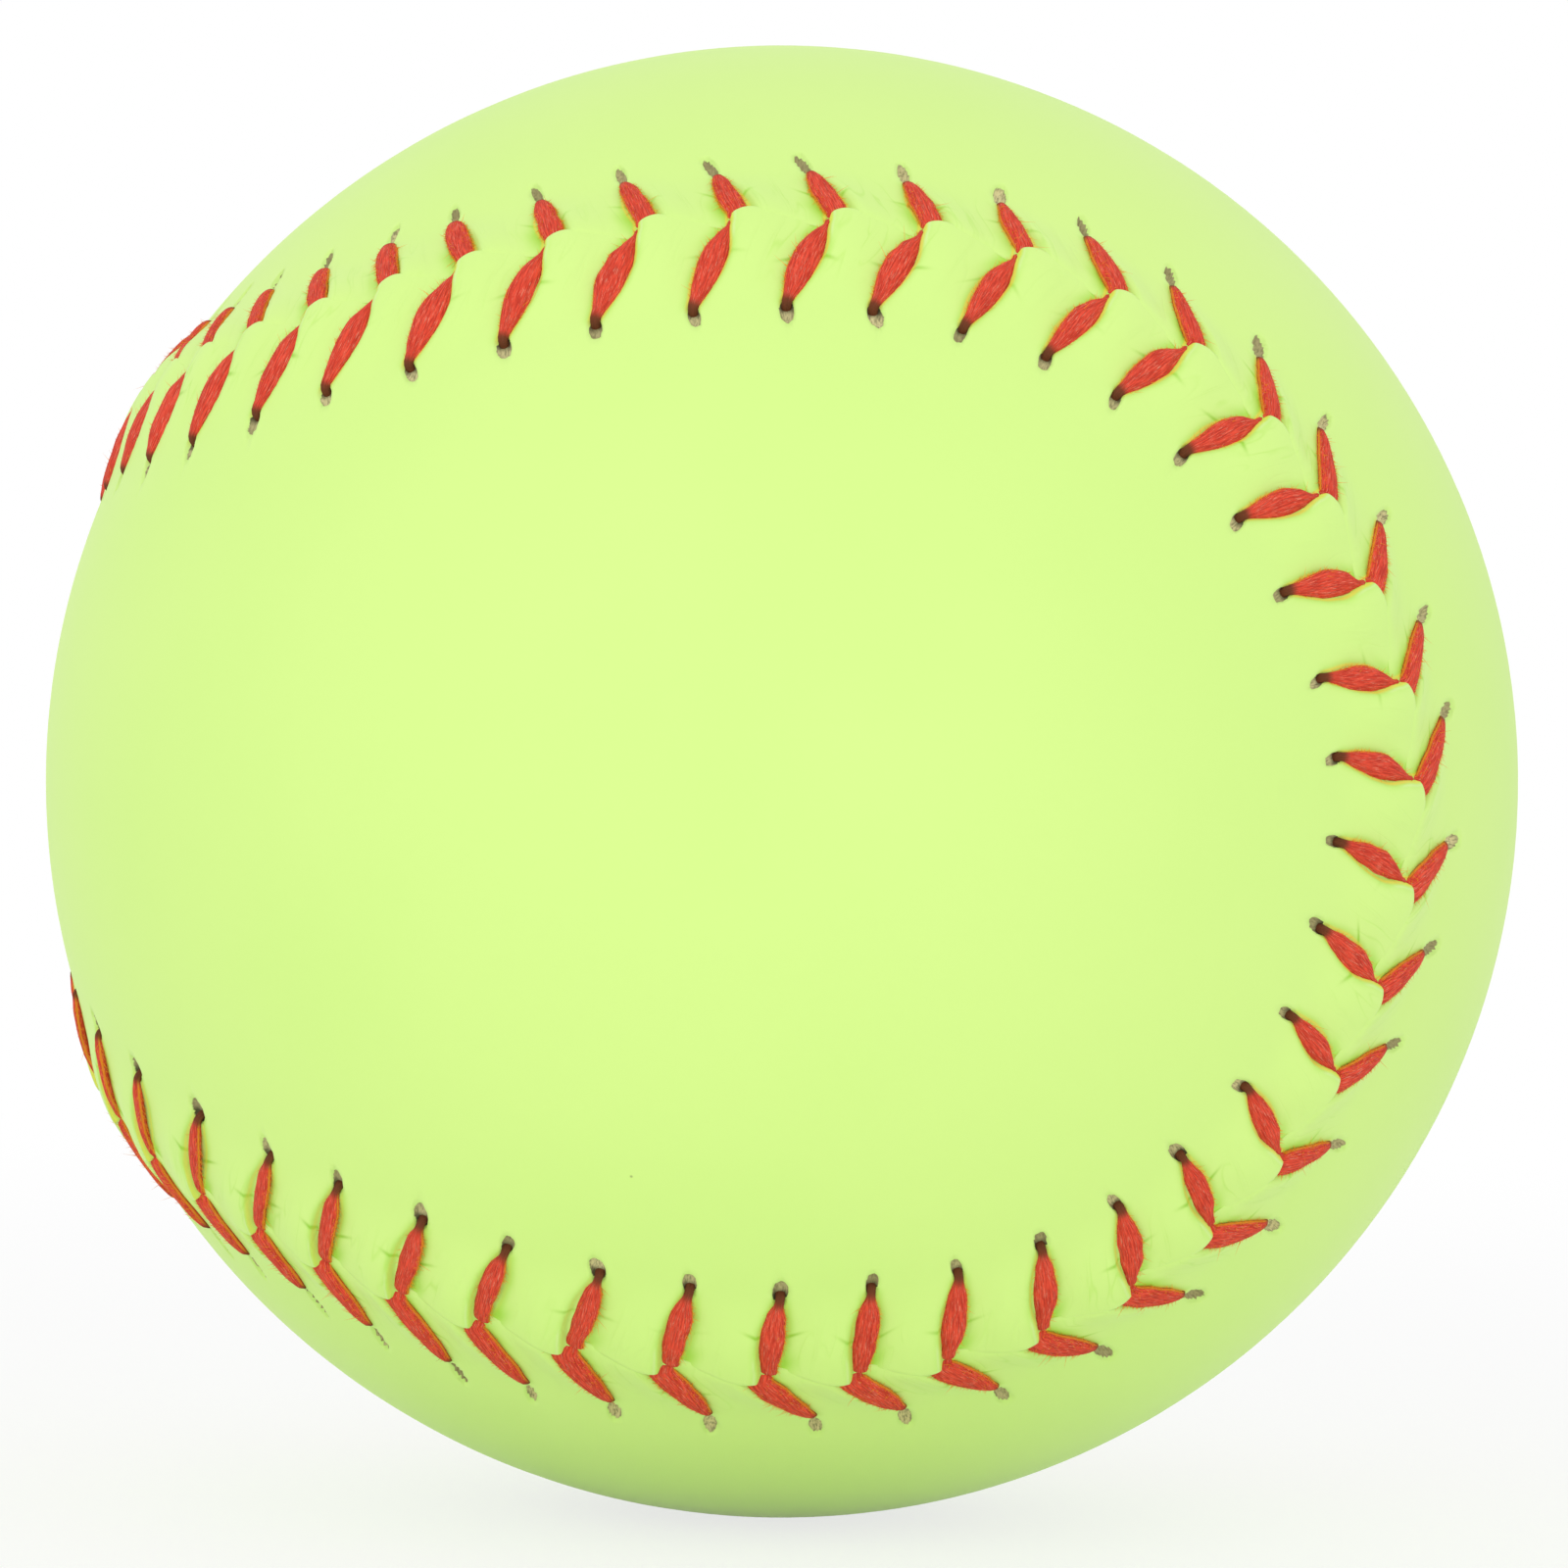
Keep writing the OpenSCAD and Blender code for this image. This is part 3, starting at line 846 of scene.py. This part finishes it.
def limb_rows(lacing, k, side, rng):
    """One limb from the hole, over the cover and down the seam.

    Each row is a place along the seam, an inset, a height, half of the width, half of the
    thickness, and how loose the fibres are there. All but the last are mm.
    """
    sizes = lacing.sizes
    here = lacing.places[k + SPARE]
    hole = lacing.hole_v(side)
    tight, usual = sizes.thread_d / 2 / MM, sizes.stitch_w / 2 / MM
    thick = sizes.stitch_t / 2 / MM
    wide = usual * rng.uniform(0.92, 1.08)
    under = -sizes.cover_t / MM - tight - UNDER_ROOM
    bend = rng.uniform(-0.15, 0.15)
    turn = lacing.seam.turn(here * MM)
    # The thread is pulled flatter in some stretches of the seam than in others
    if side > 0:
        wide *= 1 + 0.1 * math.cos(turn - 1.4) + 0.2 * twin_swell(turn, 0.5, 8)
        blunt = bluntness(turn)
        tip = 0.2 + 0.45 * blunt + rng.uniform(0, 0.08)
        ends = [
            (5.9, 0.4, max(tip, wide * 0.3), thick, 1), (6.35, 0.34, tip, thick * 0.9, 1),
            (6.55, -0.1, 0.25, 0.25, 0.5), (6.6, -0.9, 0.3, 0.3, 0), (6.7, under, tight, tight, 0),
        ]
    else:
        wide *= 1.16 - 0.12 * twin_swell(turn, 2.5, 4)
        wide -= 0.25 * twin_swell(turn, 1.1, 2) * usual
        # Its hole end is blunt where the thread lies slack, before the top of the lobe
        blunt = twin_swell(turn, 1.0, 5)
        ends = [
            (5.1, 0.05, wide * 0.8, 0.25, 1), (5.4, -0.5, 0.5, 0.3, 0.5),
            (5.6, -1.1, 0.35, 0.35, 0), (5.7, under, tight, tight, 0),
        ]
    table = [
        (-0.05, under, tight, tight, 0), (-0.12, -0.9, tight, tight * 0.8, 0),
        (-0.1, -0.25, tight * 0.8, tight * 0.6, 0),
    ]
    for from_hole, share, share_blunt, loose, loose_blunt, height in LIMB[side]:
        half_w = wide * (share + share_blunt * blunt) * rng.uniform(0.92, 1.08)
        half_t = thick * (0.7 + 0.3 * min(from_hole / 1.2, 1))
        table.append((from_hole, height, half_w, half_t, loose + loose_blunt * blunt))
    rows = []
    for from_hole, height, half_w, half_t, loose in table + ends:
        v = hole - from_hole
        s = here + lacing.shear(here, v, side)
        s = s + bend * math.sin(math.pi * min(max(v / hole, 0), 1))
        rows.append((s, v, height, half_w, half_t, loose))
    return rows


def thread_path(lacing, first_side, rng):
    """A thread's middle line and its section at each row, from limb to limb."""
    places, ways, sections = [], [], []
    for k in range(lacing.count):
        side = first_side if k % 2 == 0 else -first_side
        lean = LEAN if side > 0 else 0
        for s, v, height, *section in limb_rows(lacing, k, side, rng):
            place = lacing.point(s, v, side, height)
            places.append(place)
            ways.append(lacing.seam.ahead(s * MM) - lean * place / np.linalg.norm(place))
            sections.append(section)
    return [np.array(places), np.array(ways), *np.transpose(sections)]


def refine(values):
    """The rows with one more between each two, on a smooth curve through them."""
    before = np.concatenate([values[:1], values[:-1]])
    after = np.concatenate([values[1:], values[-1:]])
    slopes = (after - before) / 2
    fine = np.empty((2 * len(values) - 1, *values.shape[1:]))
    fine[::2] = values
    fine[1::2] = (values[:-1] + values[1:]) / 2 + (slopes[:-1] - slopes[1:]) / 8
    return fine


def thread_blank(lacing, first_side, name, rng):
    """A thread's middle line as a chain of points, with the attributes that its tree follows."""
    path = thread_path(lacing, first_side, rng)
    places, ways, widths, thicks, loose = map(refine, path)
    made = mesh_object(name, places, [], [(i, i + 1) for i in range(len(places) - 1)])
    gaps = np.linalg.norm(np.diff(places, axis=0), axis=1)
    attributes = {
        "way": ways / np.linalg.norm(ways, axis=1, keepdims=True), "centre": places,
        "half_w": widths * MM, "half_t": thicks * MM, "loose": loose,
        "along": np.concatenate([[0], np.cumsum(gaps)]) / MM,
    }
    for label, values in attributes.items():
        point_values(made.data, label, values)
    return made


def thread_tree(surface):
    """Turns a thread's middle line into a lens-shaped yarn with stray fibres on it."""
    inputs = ("Fuzz", "Fibre length", "Fibre radius", "Seed")
    tree, plan, given = shape_tree("Thread yarn", inputs)

    def store(geometry, name, value, kind="FLOAT"):
        sockets = {"Geometry": geometry, "Name": name, "Value": value}
        return plan.node("GeometryNodeStoreNamedAttribute", {"data_type": kind}, sockets)

    ring = plan.node("GeometryNodeCurvePrimitiveCircle", {}, {"Resolution": RING_POINTS})
    spot = plan.parts(plan.node("GeometryNodeInputPosition"))
    ring = store(ring, "side_share", spot[0])
    ring = store(ring, "top_share", spot[1])
    line = plan.node("GeometryNodeMeshToCurve", {}, {"Mesh": given.out("Geometry")})
    line = store(line, "tangent", plan.node("GeometryNodeInputTangent"), "FLOAT_VECTOR")
    sockets = {"Curve": line, "Profile Curve": ring, "Fill Caps": True}
    tube = plan.node("GeometryNodeCurveToMesh", {}, sockets)
    vectors = ("tangent", "way", "centre")
    tangent, way, centre = (plan.field(name, "FLOAT_VECTOR") for name in vectors)
    thick_way = plan.vector("NORMALIZE", plan.vector("CROSS_PRODUCT", tangent, way))
    wide_way = plan.vector("NORMALIZE", plan.vector("CROSS_PRODUCT", thick_way, tangent))
    side_share, top_share = plan.field("side_share"), plan.field("top_share")
    wide = plan.scale(wide_way, side_share * plan.field("half_w"))
    thick = plan.scale(thick_way, top_share * plan.field("half_t"))
    position = plan.vector("ADD", centre, plan.vector("ADD", wide, thick))
    tube = plan.node("GeometryNodeSetPosition", {}, {"Geometry": tube, "Position": position})
    tube = plan.node("GeometryNodeSetShadeSmooth", {}, {"Geometry": tube})

    # One stray fibre: a closed three-sided spike
    hair = plan.node("GeometryNodeMeshCone", {}, {"Vertices": 3, "Depth": 1.0})
    hair = store(hair, "fibre", 1.0)
    # The fibres stand on the loose stretches, most of them along the limb's sides
    density = given.out("Fuzz") * plan.ease(plan.field("loose"), 0.5, 0.9)
    density = density * (plan.ease(abs(side_share), 0.7, 0.95) + 0.03)
    density = density * plan.ease(top_share, -0.6, 0.3)
    sockets = {"Mesh": tube, "Density": density, "Seed": given.out("Seed")}
    spread = plan.node("GeometryNodeDistributePointsOnFaces", {}, sockets)
    lean = plan.vector("ADD", tangent, spread.out("Normal"))
    leaning = plan.node("FunctionNodeAlignRotationToVector", {"axis": "Z"}, {"Vector": lean})
    sockets = {"Min": (-0.6, -0.6, -3.1), "Max": (0.6, 0.6, 3.1), "Seed": 5}
    spin = plan.node("FunctionNodeRandomValue", {"data_type": "FLOAT_VECTOR"}, sockets)
    spin = plan.node("FunctionNodeEulerToRotation", {}, {0: spin})
    sockets = {"Rotation": leaning, "Rotate By": spin}
    turn = plan.node("FunctionNodeRotateRotation", {"rotation_space": "LOCAL"}, sockets)
    sockets = {"Min": 0.3, "Max": 1.0, "Seed": 9}
    size = plan.node("FunctionNodeRandomValue", {"data_type": "FLOAT"}, sockets, 1)
    # One fibre in many is a long flyaway
    size = size + size**40.0 * 2.0
    thin = given.out("Fibre radius")
    sockets = {
        "Points": spread, "Instance": hair, "Rotation": turn,
        "Scale": plan.join(thin, thin, size * given.out("Fibre length")),
    }
    hairs = plan.node("GeometryNodeInstanceOnPoints", {}, sockets)
    both = plan.node("GeometryNodeJoinGeometry", {}, {0: hairs})
    plan.feed(both.node, {0: tube})
    close_tree(plan, both, surface)
    return tree


def thread_material(colours):
    """Red yarn in fine strands, with a painted orange glow at its loose rims and painted shade
    where it dives.
    """
    made, plan, shader = material("red_thread")
    names = ("side_share", "top_share", "along", "loose", "fibre")
    across, top, along, loose, fibre = map(plan.attribute, names)
    strand = plan.join(along * 0.35, across * 3.4 + along * 0.3, top * 2.0)
    streaks = plan.noise(strand, 2.6, 3.0, 0.62)
    fine_strand = plan.join(along * 0.6, across * 9.0 + along * 0.9, top * 5.0)
    fine = plan.noise(fine_strand, 2.4, 2.0, 0.6)
    red = colours.thread
    lit = (min(red[0] * 1.15, 1), red[1] * 1.7, red[2] * 1.7)
    tone = plan.mix(plan.ease(streaks, 0.34, 0.68), shaded(red, 0.68), lit)
    tone = plan.mix(plan.ease(fine, 0.57, 0.7) * 0.65, tone, FLECK)
    # A painted glow on the yarn's side rims and on its stray fibres
    rim_light = plan.ease(abs(across), 0.8, 1.0) * plan.bell(top, 0.1, 0.22)
    tone = plan.mix(plan.clamp(rim_light * 0.85 + fibre * 0.85), tone, colours.rim_light)
    # Painted shade where the thread dives into a hole and under the cover
    tone = plan.mix((1 - plan.ease(loose, 0.0, 0.8)) * 0.9, tone, DIVE_SHADE)
    plan.feed(shader, {
        "Base Color": tone, "Normal": plan.bump(streaks * 0.6 + fine, 0.6, 0.00012),
        "Roughness": 0.8, "Specular IOR Level": 0.2,
    })
    return made


# Operators


def settings():
    return bpy.context.scene.softball_sizes, bpy.context.scene.softball_colours


class SOFTBALL_OT_cover(bpy.types.Operator):
    """Make the two cover panels with their laced edges"""

    bl_idname = "softball.make_cover"
    bl_label = "Cover panels"

    def execute(self, context):
        sizes, colours = settings()
        lacing = Lacing(Seam(sizes))
        for side, letter in ((1, "a"), (-1, "b")):
            name = f"cover_leather_{letter}"
            hole_v = lacing.hole_v(side)
            surface = cover_material(f"{name}_coat", colours, hole_v, side)
            blank = panel_blank(lacing, side, name + "_blank")
            tree = panel_tree(side, surface, hole_v, lacing.pitch)
            values = {
                "Welt height": sizes.welt_h, "Pillow height": sizes.pillow_h,
                "Lip depth": LIP_DEPTH * MM, "Hole depth": HOLE_DEPTH * MM,
            }
            panel = shaped(blank, tree, values, name)
            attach(panel, "root")
            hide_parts(f"cover_panel_{letter}")
        return {"FINISHED"}


class SOFTBALL_OT_lacing(bpy.types.Operator):
    """Make the two threads that lace the panels together"""

    bl_idname = "softball.make_lacing"
    bl_label = "Lacing threads"

    def execute(self, context):
        sizes, colours = settings()
        lacing = Lacing(Seam(sizes))
        surface = thread_material(colours)
        for first_side, letter in ((1, "a"), (-1, "b")):
            rng = np.random.default_rng(THREAD_SEED + first_side)
            name = f"lacing_yarn_{letter}"
            blank = thread_blank(lacing, first_side, name + "_path", rng)
            values = {
                "Fuzz": sizes.fuzz / MM**2, "Fibre length": FIBRE_LENGTH * MM,
                "Fibre radius": FIBRE_RADIUS * MM, "Seed": FIBRE_SEED,
            }
            yarn = shaped(blank, thread_tree(surface), values, name)
            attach(yarn, "root")
            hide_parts(f"lacing_thread_{letter}")
        return {"FINISHED"}


class SOFTBALL_OT_core(bpy.types.Operator):
    """Give the moulded core its foam"""

    bl_idname = "softball.finish_core"
    bl_label = "Core foam"

    def execute(self, context):
        foam = settings()[1].core
        made, plan, shader = material("core_foam")
        place = plan.node("ShaderNodeTexCoord").out("Object")
        cells = plan.node("ShaderNodeTexVoronoi", {}, {"Vector": place, "Scale": 1100.0})
        cells = cells.out("Distance")
        cloud = plan.noise(place, 60.0, 3.0)
        tone = plan.mix(plan.ease(cloud, 0.3, 0.7), foam, shaded(foam, 0.86))
        # The foam's pores are painted darker, as shade in their hollows
        tone = plan.mix((1 - plan.ease(cells, 0.0, 0.3)) * 0.4, tone, shaded(foam, 0.6))
        bump = plan.bump(cells, 0.4, 0.0003)
        plan.feed(shader, {"Base Color": tone, "Normal": bump, "Roughness": 0.7})
        core = FRAME["nodes"]["core"]
        core.data.materials.clear()
        core.data.materials.append(made)
        return {"FINISHED"}


class SOFTBALL_OT_stage(bpy.types.Operator):
    """Set up the studio: floor, backdrop, lights and camera"""

    bl_idname = "softball.set_stage"
    bl_label = "Studio"

    def execute(self, context):
        sizes, colours = settings()
        make_floor(sizes.ball_d / 2, colours)
        make_world()
        make_lights()
        make_camera(sizes.ball_d / 2)
        return {"FINISHED"}


def make_floor(radius, colours):
    """A sheet of pale paper that fades into the white backdrop."""
    corners = ((-1, -1), (1, -1), (1, 1), (-1, 1))
    points = [(x * FLOOR_HALF, y * FLOOR_HALF, -radius) for x, y in corners]
    floor = mesh_object("studio_floor", points, [(0, 1, 2, 3)])
    made, plan, shader = material("floor_paper")
    place = plan.node("ShaderNodeTexCoord").out("Object")
    pale = colours.floor
    tone = plan.mix(plan.noise(place, 8.0), pale, shaded(pale, 0.985))
    plan.feed(shader, {"Base Color": tone, "Roughness": 0.9, "Specular IOR Level": 0.1})
    ray = plan.node("ShaderNodeLightPath")
    white = plan.node("ShaderNodeEmission")
    away = plan.ease(plan.vector("LENGTH", place, out=1), radius * 2, radius * 7)
    seen = plan.clamp(ray.out("Is Camera Ray") + ray.out("Is Glossy Ray"))
    seen = seen * (0.75 + away * 0.25)
    both = plan.node("ShaderNodeMixShader", {}, {0: seen, 1: shader.outputs[0], 2: white})
    plan.feed(made.node_tree.nodes["Material Output"], {"Surface": both})
    floor.data.materials.append(made)


def make_world():
    """White to the camera, and plain soft light for the rest."""
    world = bpy.data.worlds.new("studio_world")
    world.use_nodes = True
    bpy.context.scene.world = world
    plan = Plan(world.node_tree)
    ray = plan.node("ShaderNodeLightPath")
    seen = ray.out("Is Camera Ray") + ray.out("Is Glossy Ray") + ray.out("Is Transmission Ray")
    strength = plan.clamp(seen) * (1 - WORLD_LIGHT) + WORLD_LIGHT
    back = world.node_tree.nodes["Background"]
    plan.feed(back, {"Color": (1, 1, 1, 1), "Strength": strength})


def make_lights():
    for name, (place, size, power) in LAMPS.items():
        lamp = bpy.data.lights.new(name, "AREA")
        lamp.shape, lamp.size, lamp.energy = "DISK", size, power
        made = new_object(name, lamp)
        made.location = place
        made.rotation_euler = Vector(place).to_track_quat("Z", "Y").to_euler()


def make_camera(radius):
    """The photograph's camera, which looks at the ball's middle from far off."""
    lens = bpy.data.cameras.new("photo_camera")
    lens.lens = LENS
    lens.clip_start, lens.clip_end = 0.01, 50.0
    lens.shift_x, lens.shift_y = SHIFT
    camera = new_object("photo_camera", lens)
    way = Vector(CAMERA_WAY).normalized()
    right = Vector((0, 0, 1)).cross(way).normalized()
    level = Matrix((right, way.cross(right), way)).transposed().to_4x4()
    roll = Matrix.Rotation(math.radians(CAMERA_ROLL), 4, "Z")
    camera.matrix_world = Matrix.Translation(way * radius * CAMERA_FAR) @ level @ roll
    bpy.context.scene.camera = camera


class SOFTBALL_PT_panel(bpy.types.Panel):
    bl_label = "Laced softball"
    bl_idname = "SOFTBALL_PT_panel"
    bl_space_type = "VIEW_3D"
    bl_region_type = "UI"
    bl_category = "Softball"

    def draw(self, context):
        for group in (context.scene.softball_sizes, context.scene.softball_colours):
            box = self.layout.box()
            for name in type(group).__annotations__:
                box.prop(group, name)
        for operator in OPERATORS:
            self.layout.operator(operator.bl_idname)


OPERATORS = (SOFTBALL_OT_cover, SOFTBALL_OT_lacing, SOFTBALL_OT_core, SOFTBALL_OT_stage)
CLASSES = (SoftballSizes, SoftballColours, *OPERATORS, SOFTBALL_PT_panel)


def register():
    for made in CLASSES:
        bpy.utils.register_class(made)
    bpy.types.Scene.softball_sizes = bpy.props.PointerProperty(type=SoftballSizes)
    bpy.types.Scene.softball_colours = bpy.props.PointerProperty(type=SoftballColours)


def unregister():
    del bpy.types.Scene.softball_colours
    del bpy.types.Scene.softball_sizes
    for made in reversed(CLASSES):
        bpy.utils.unregister_class(made)


def main():
    register()
    bpy.context.scene.view_settings.view_transform = "Standard"
    bpy.ops.softball.make_cover()
    bpy.ops.softball.make_lacing()
    bpy.ops.softball.finish_core()
    bpy.ops.softball.set_stage()


if __name__ == "__main__":
    main()
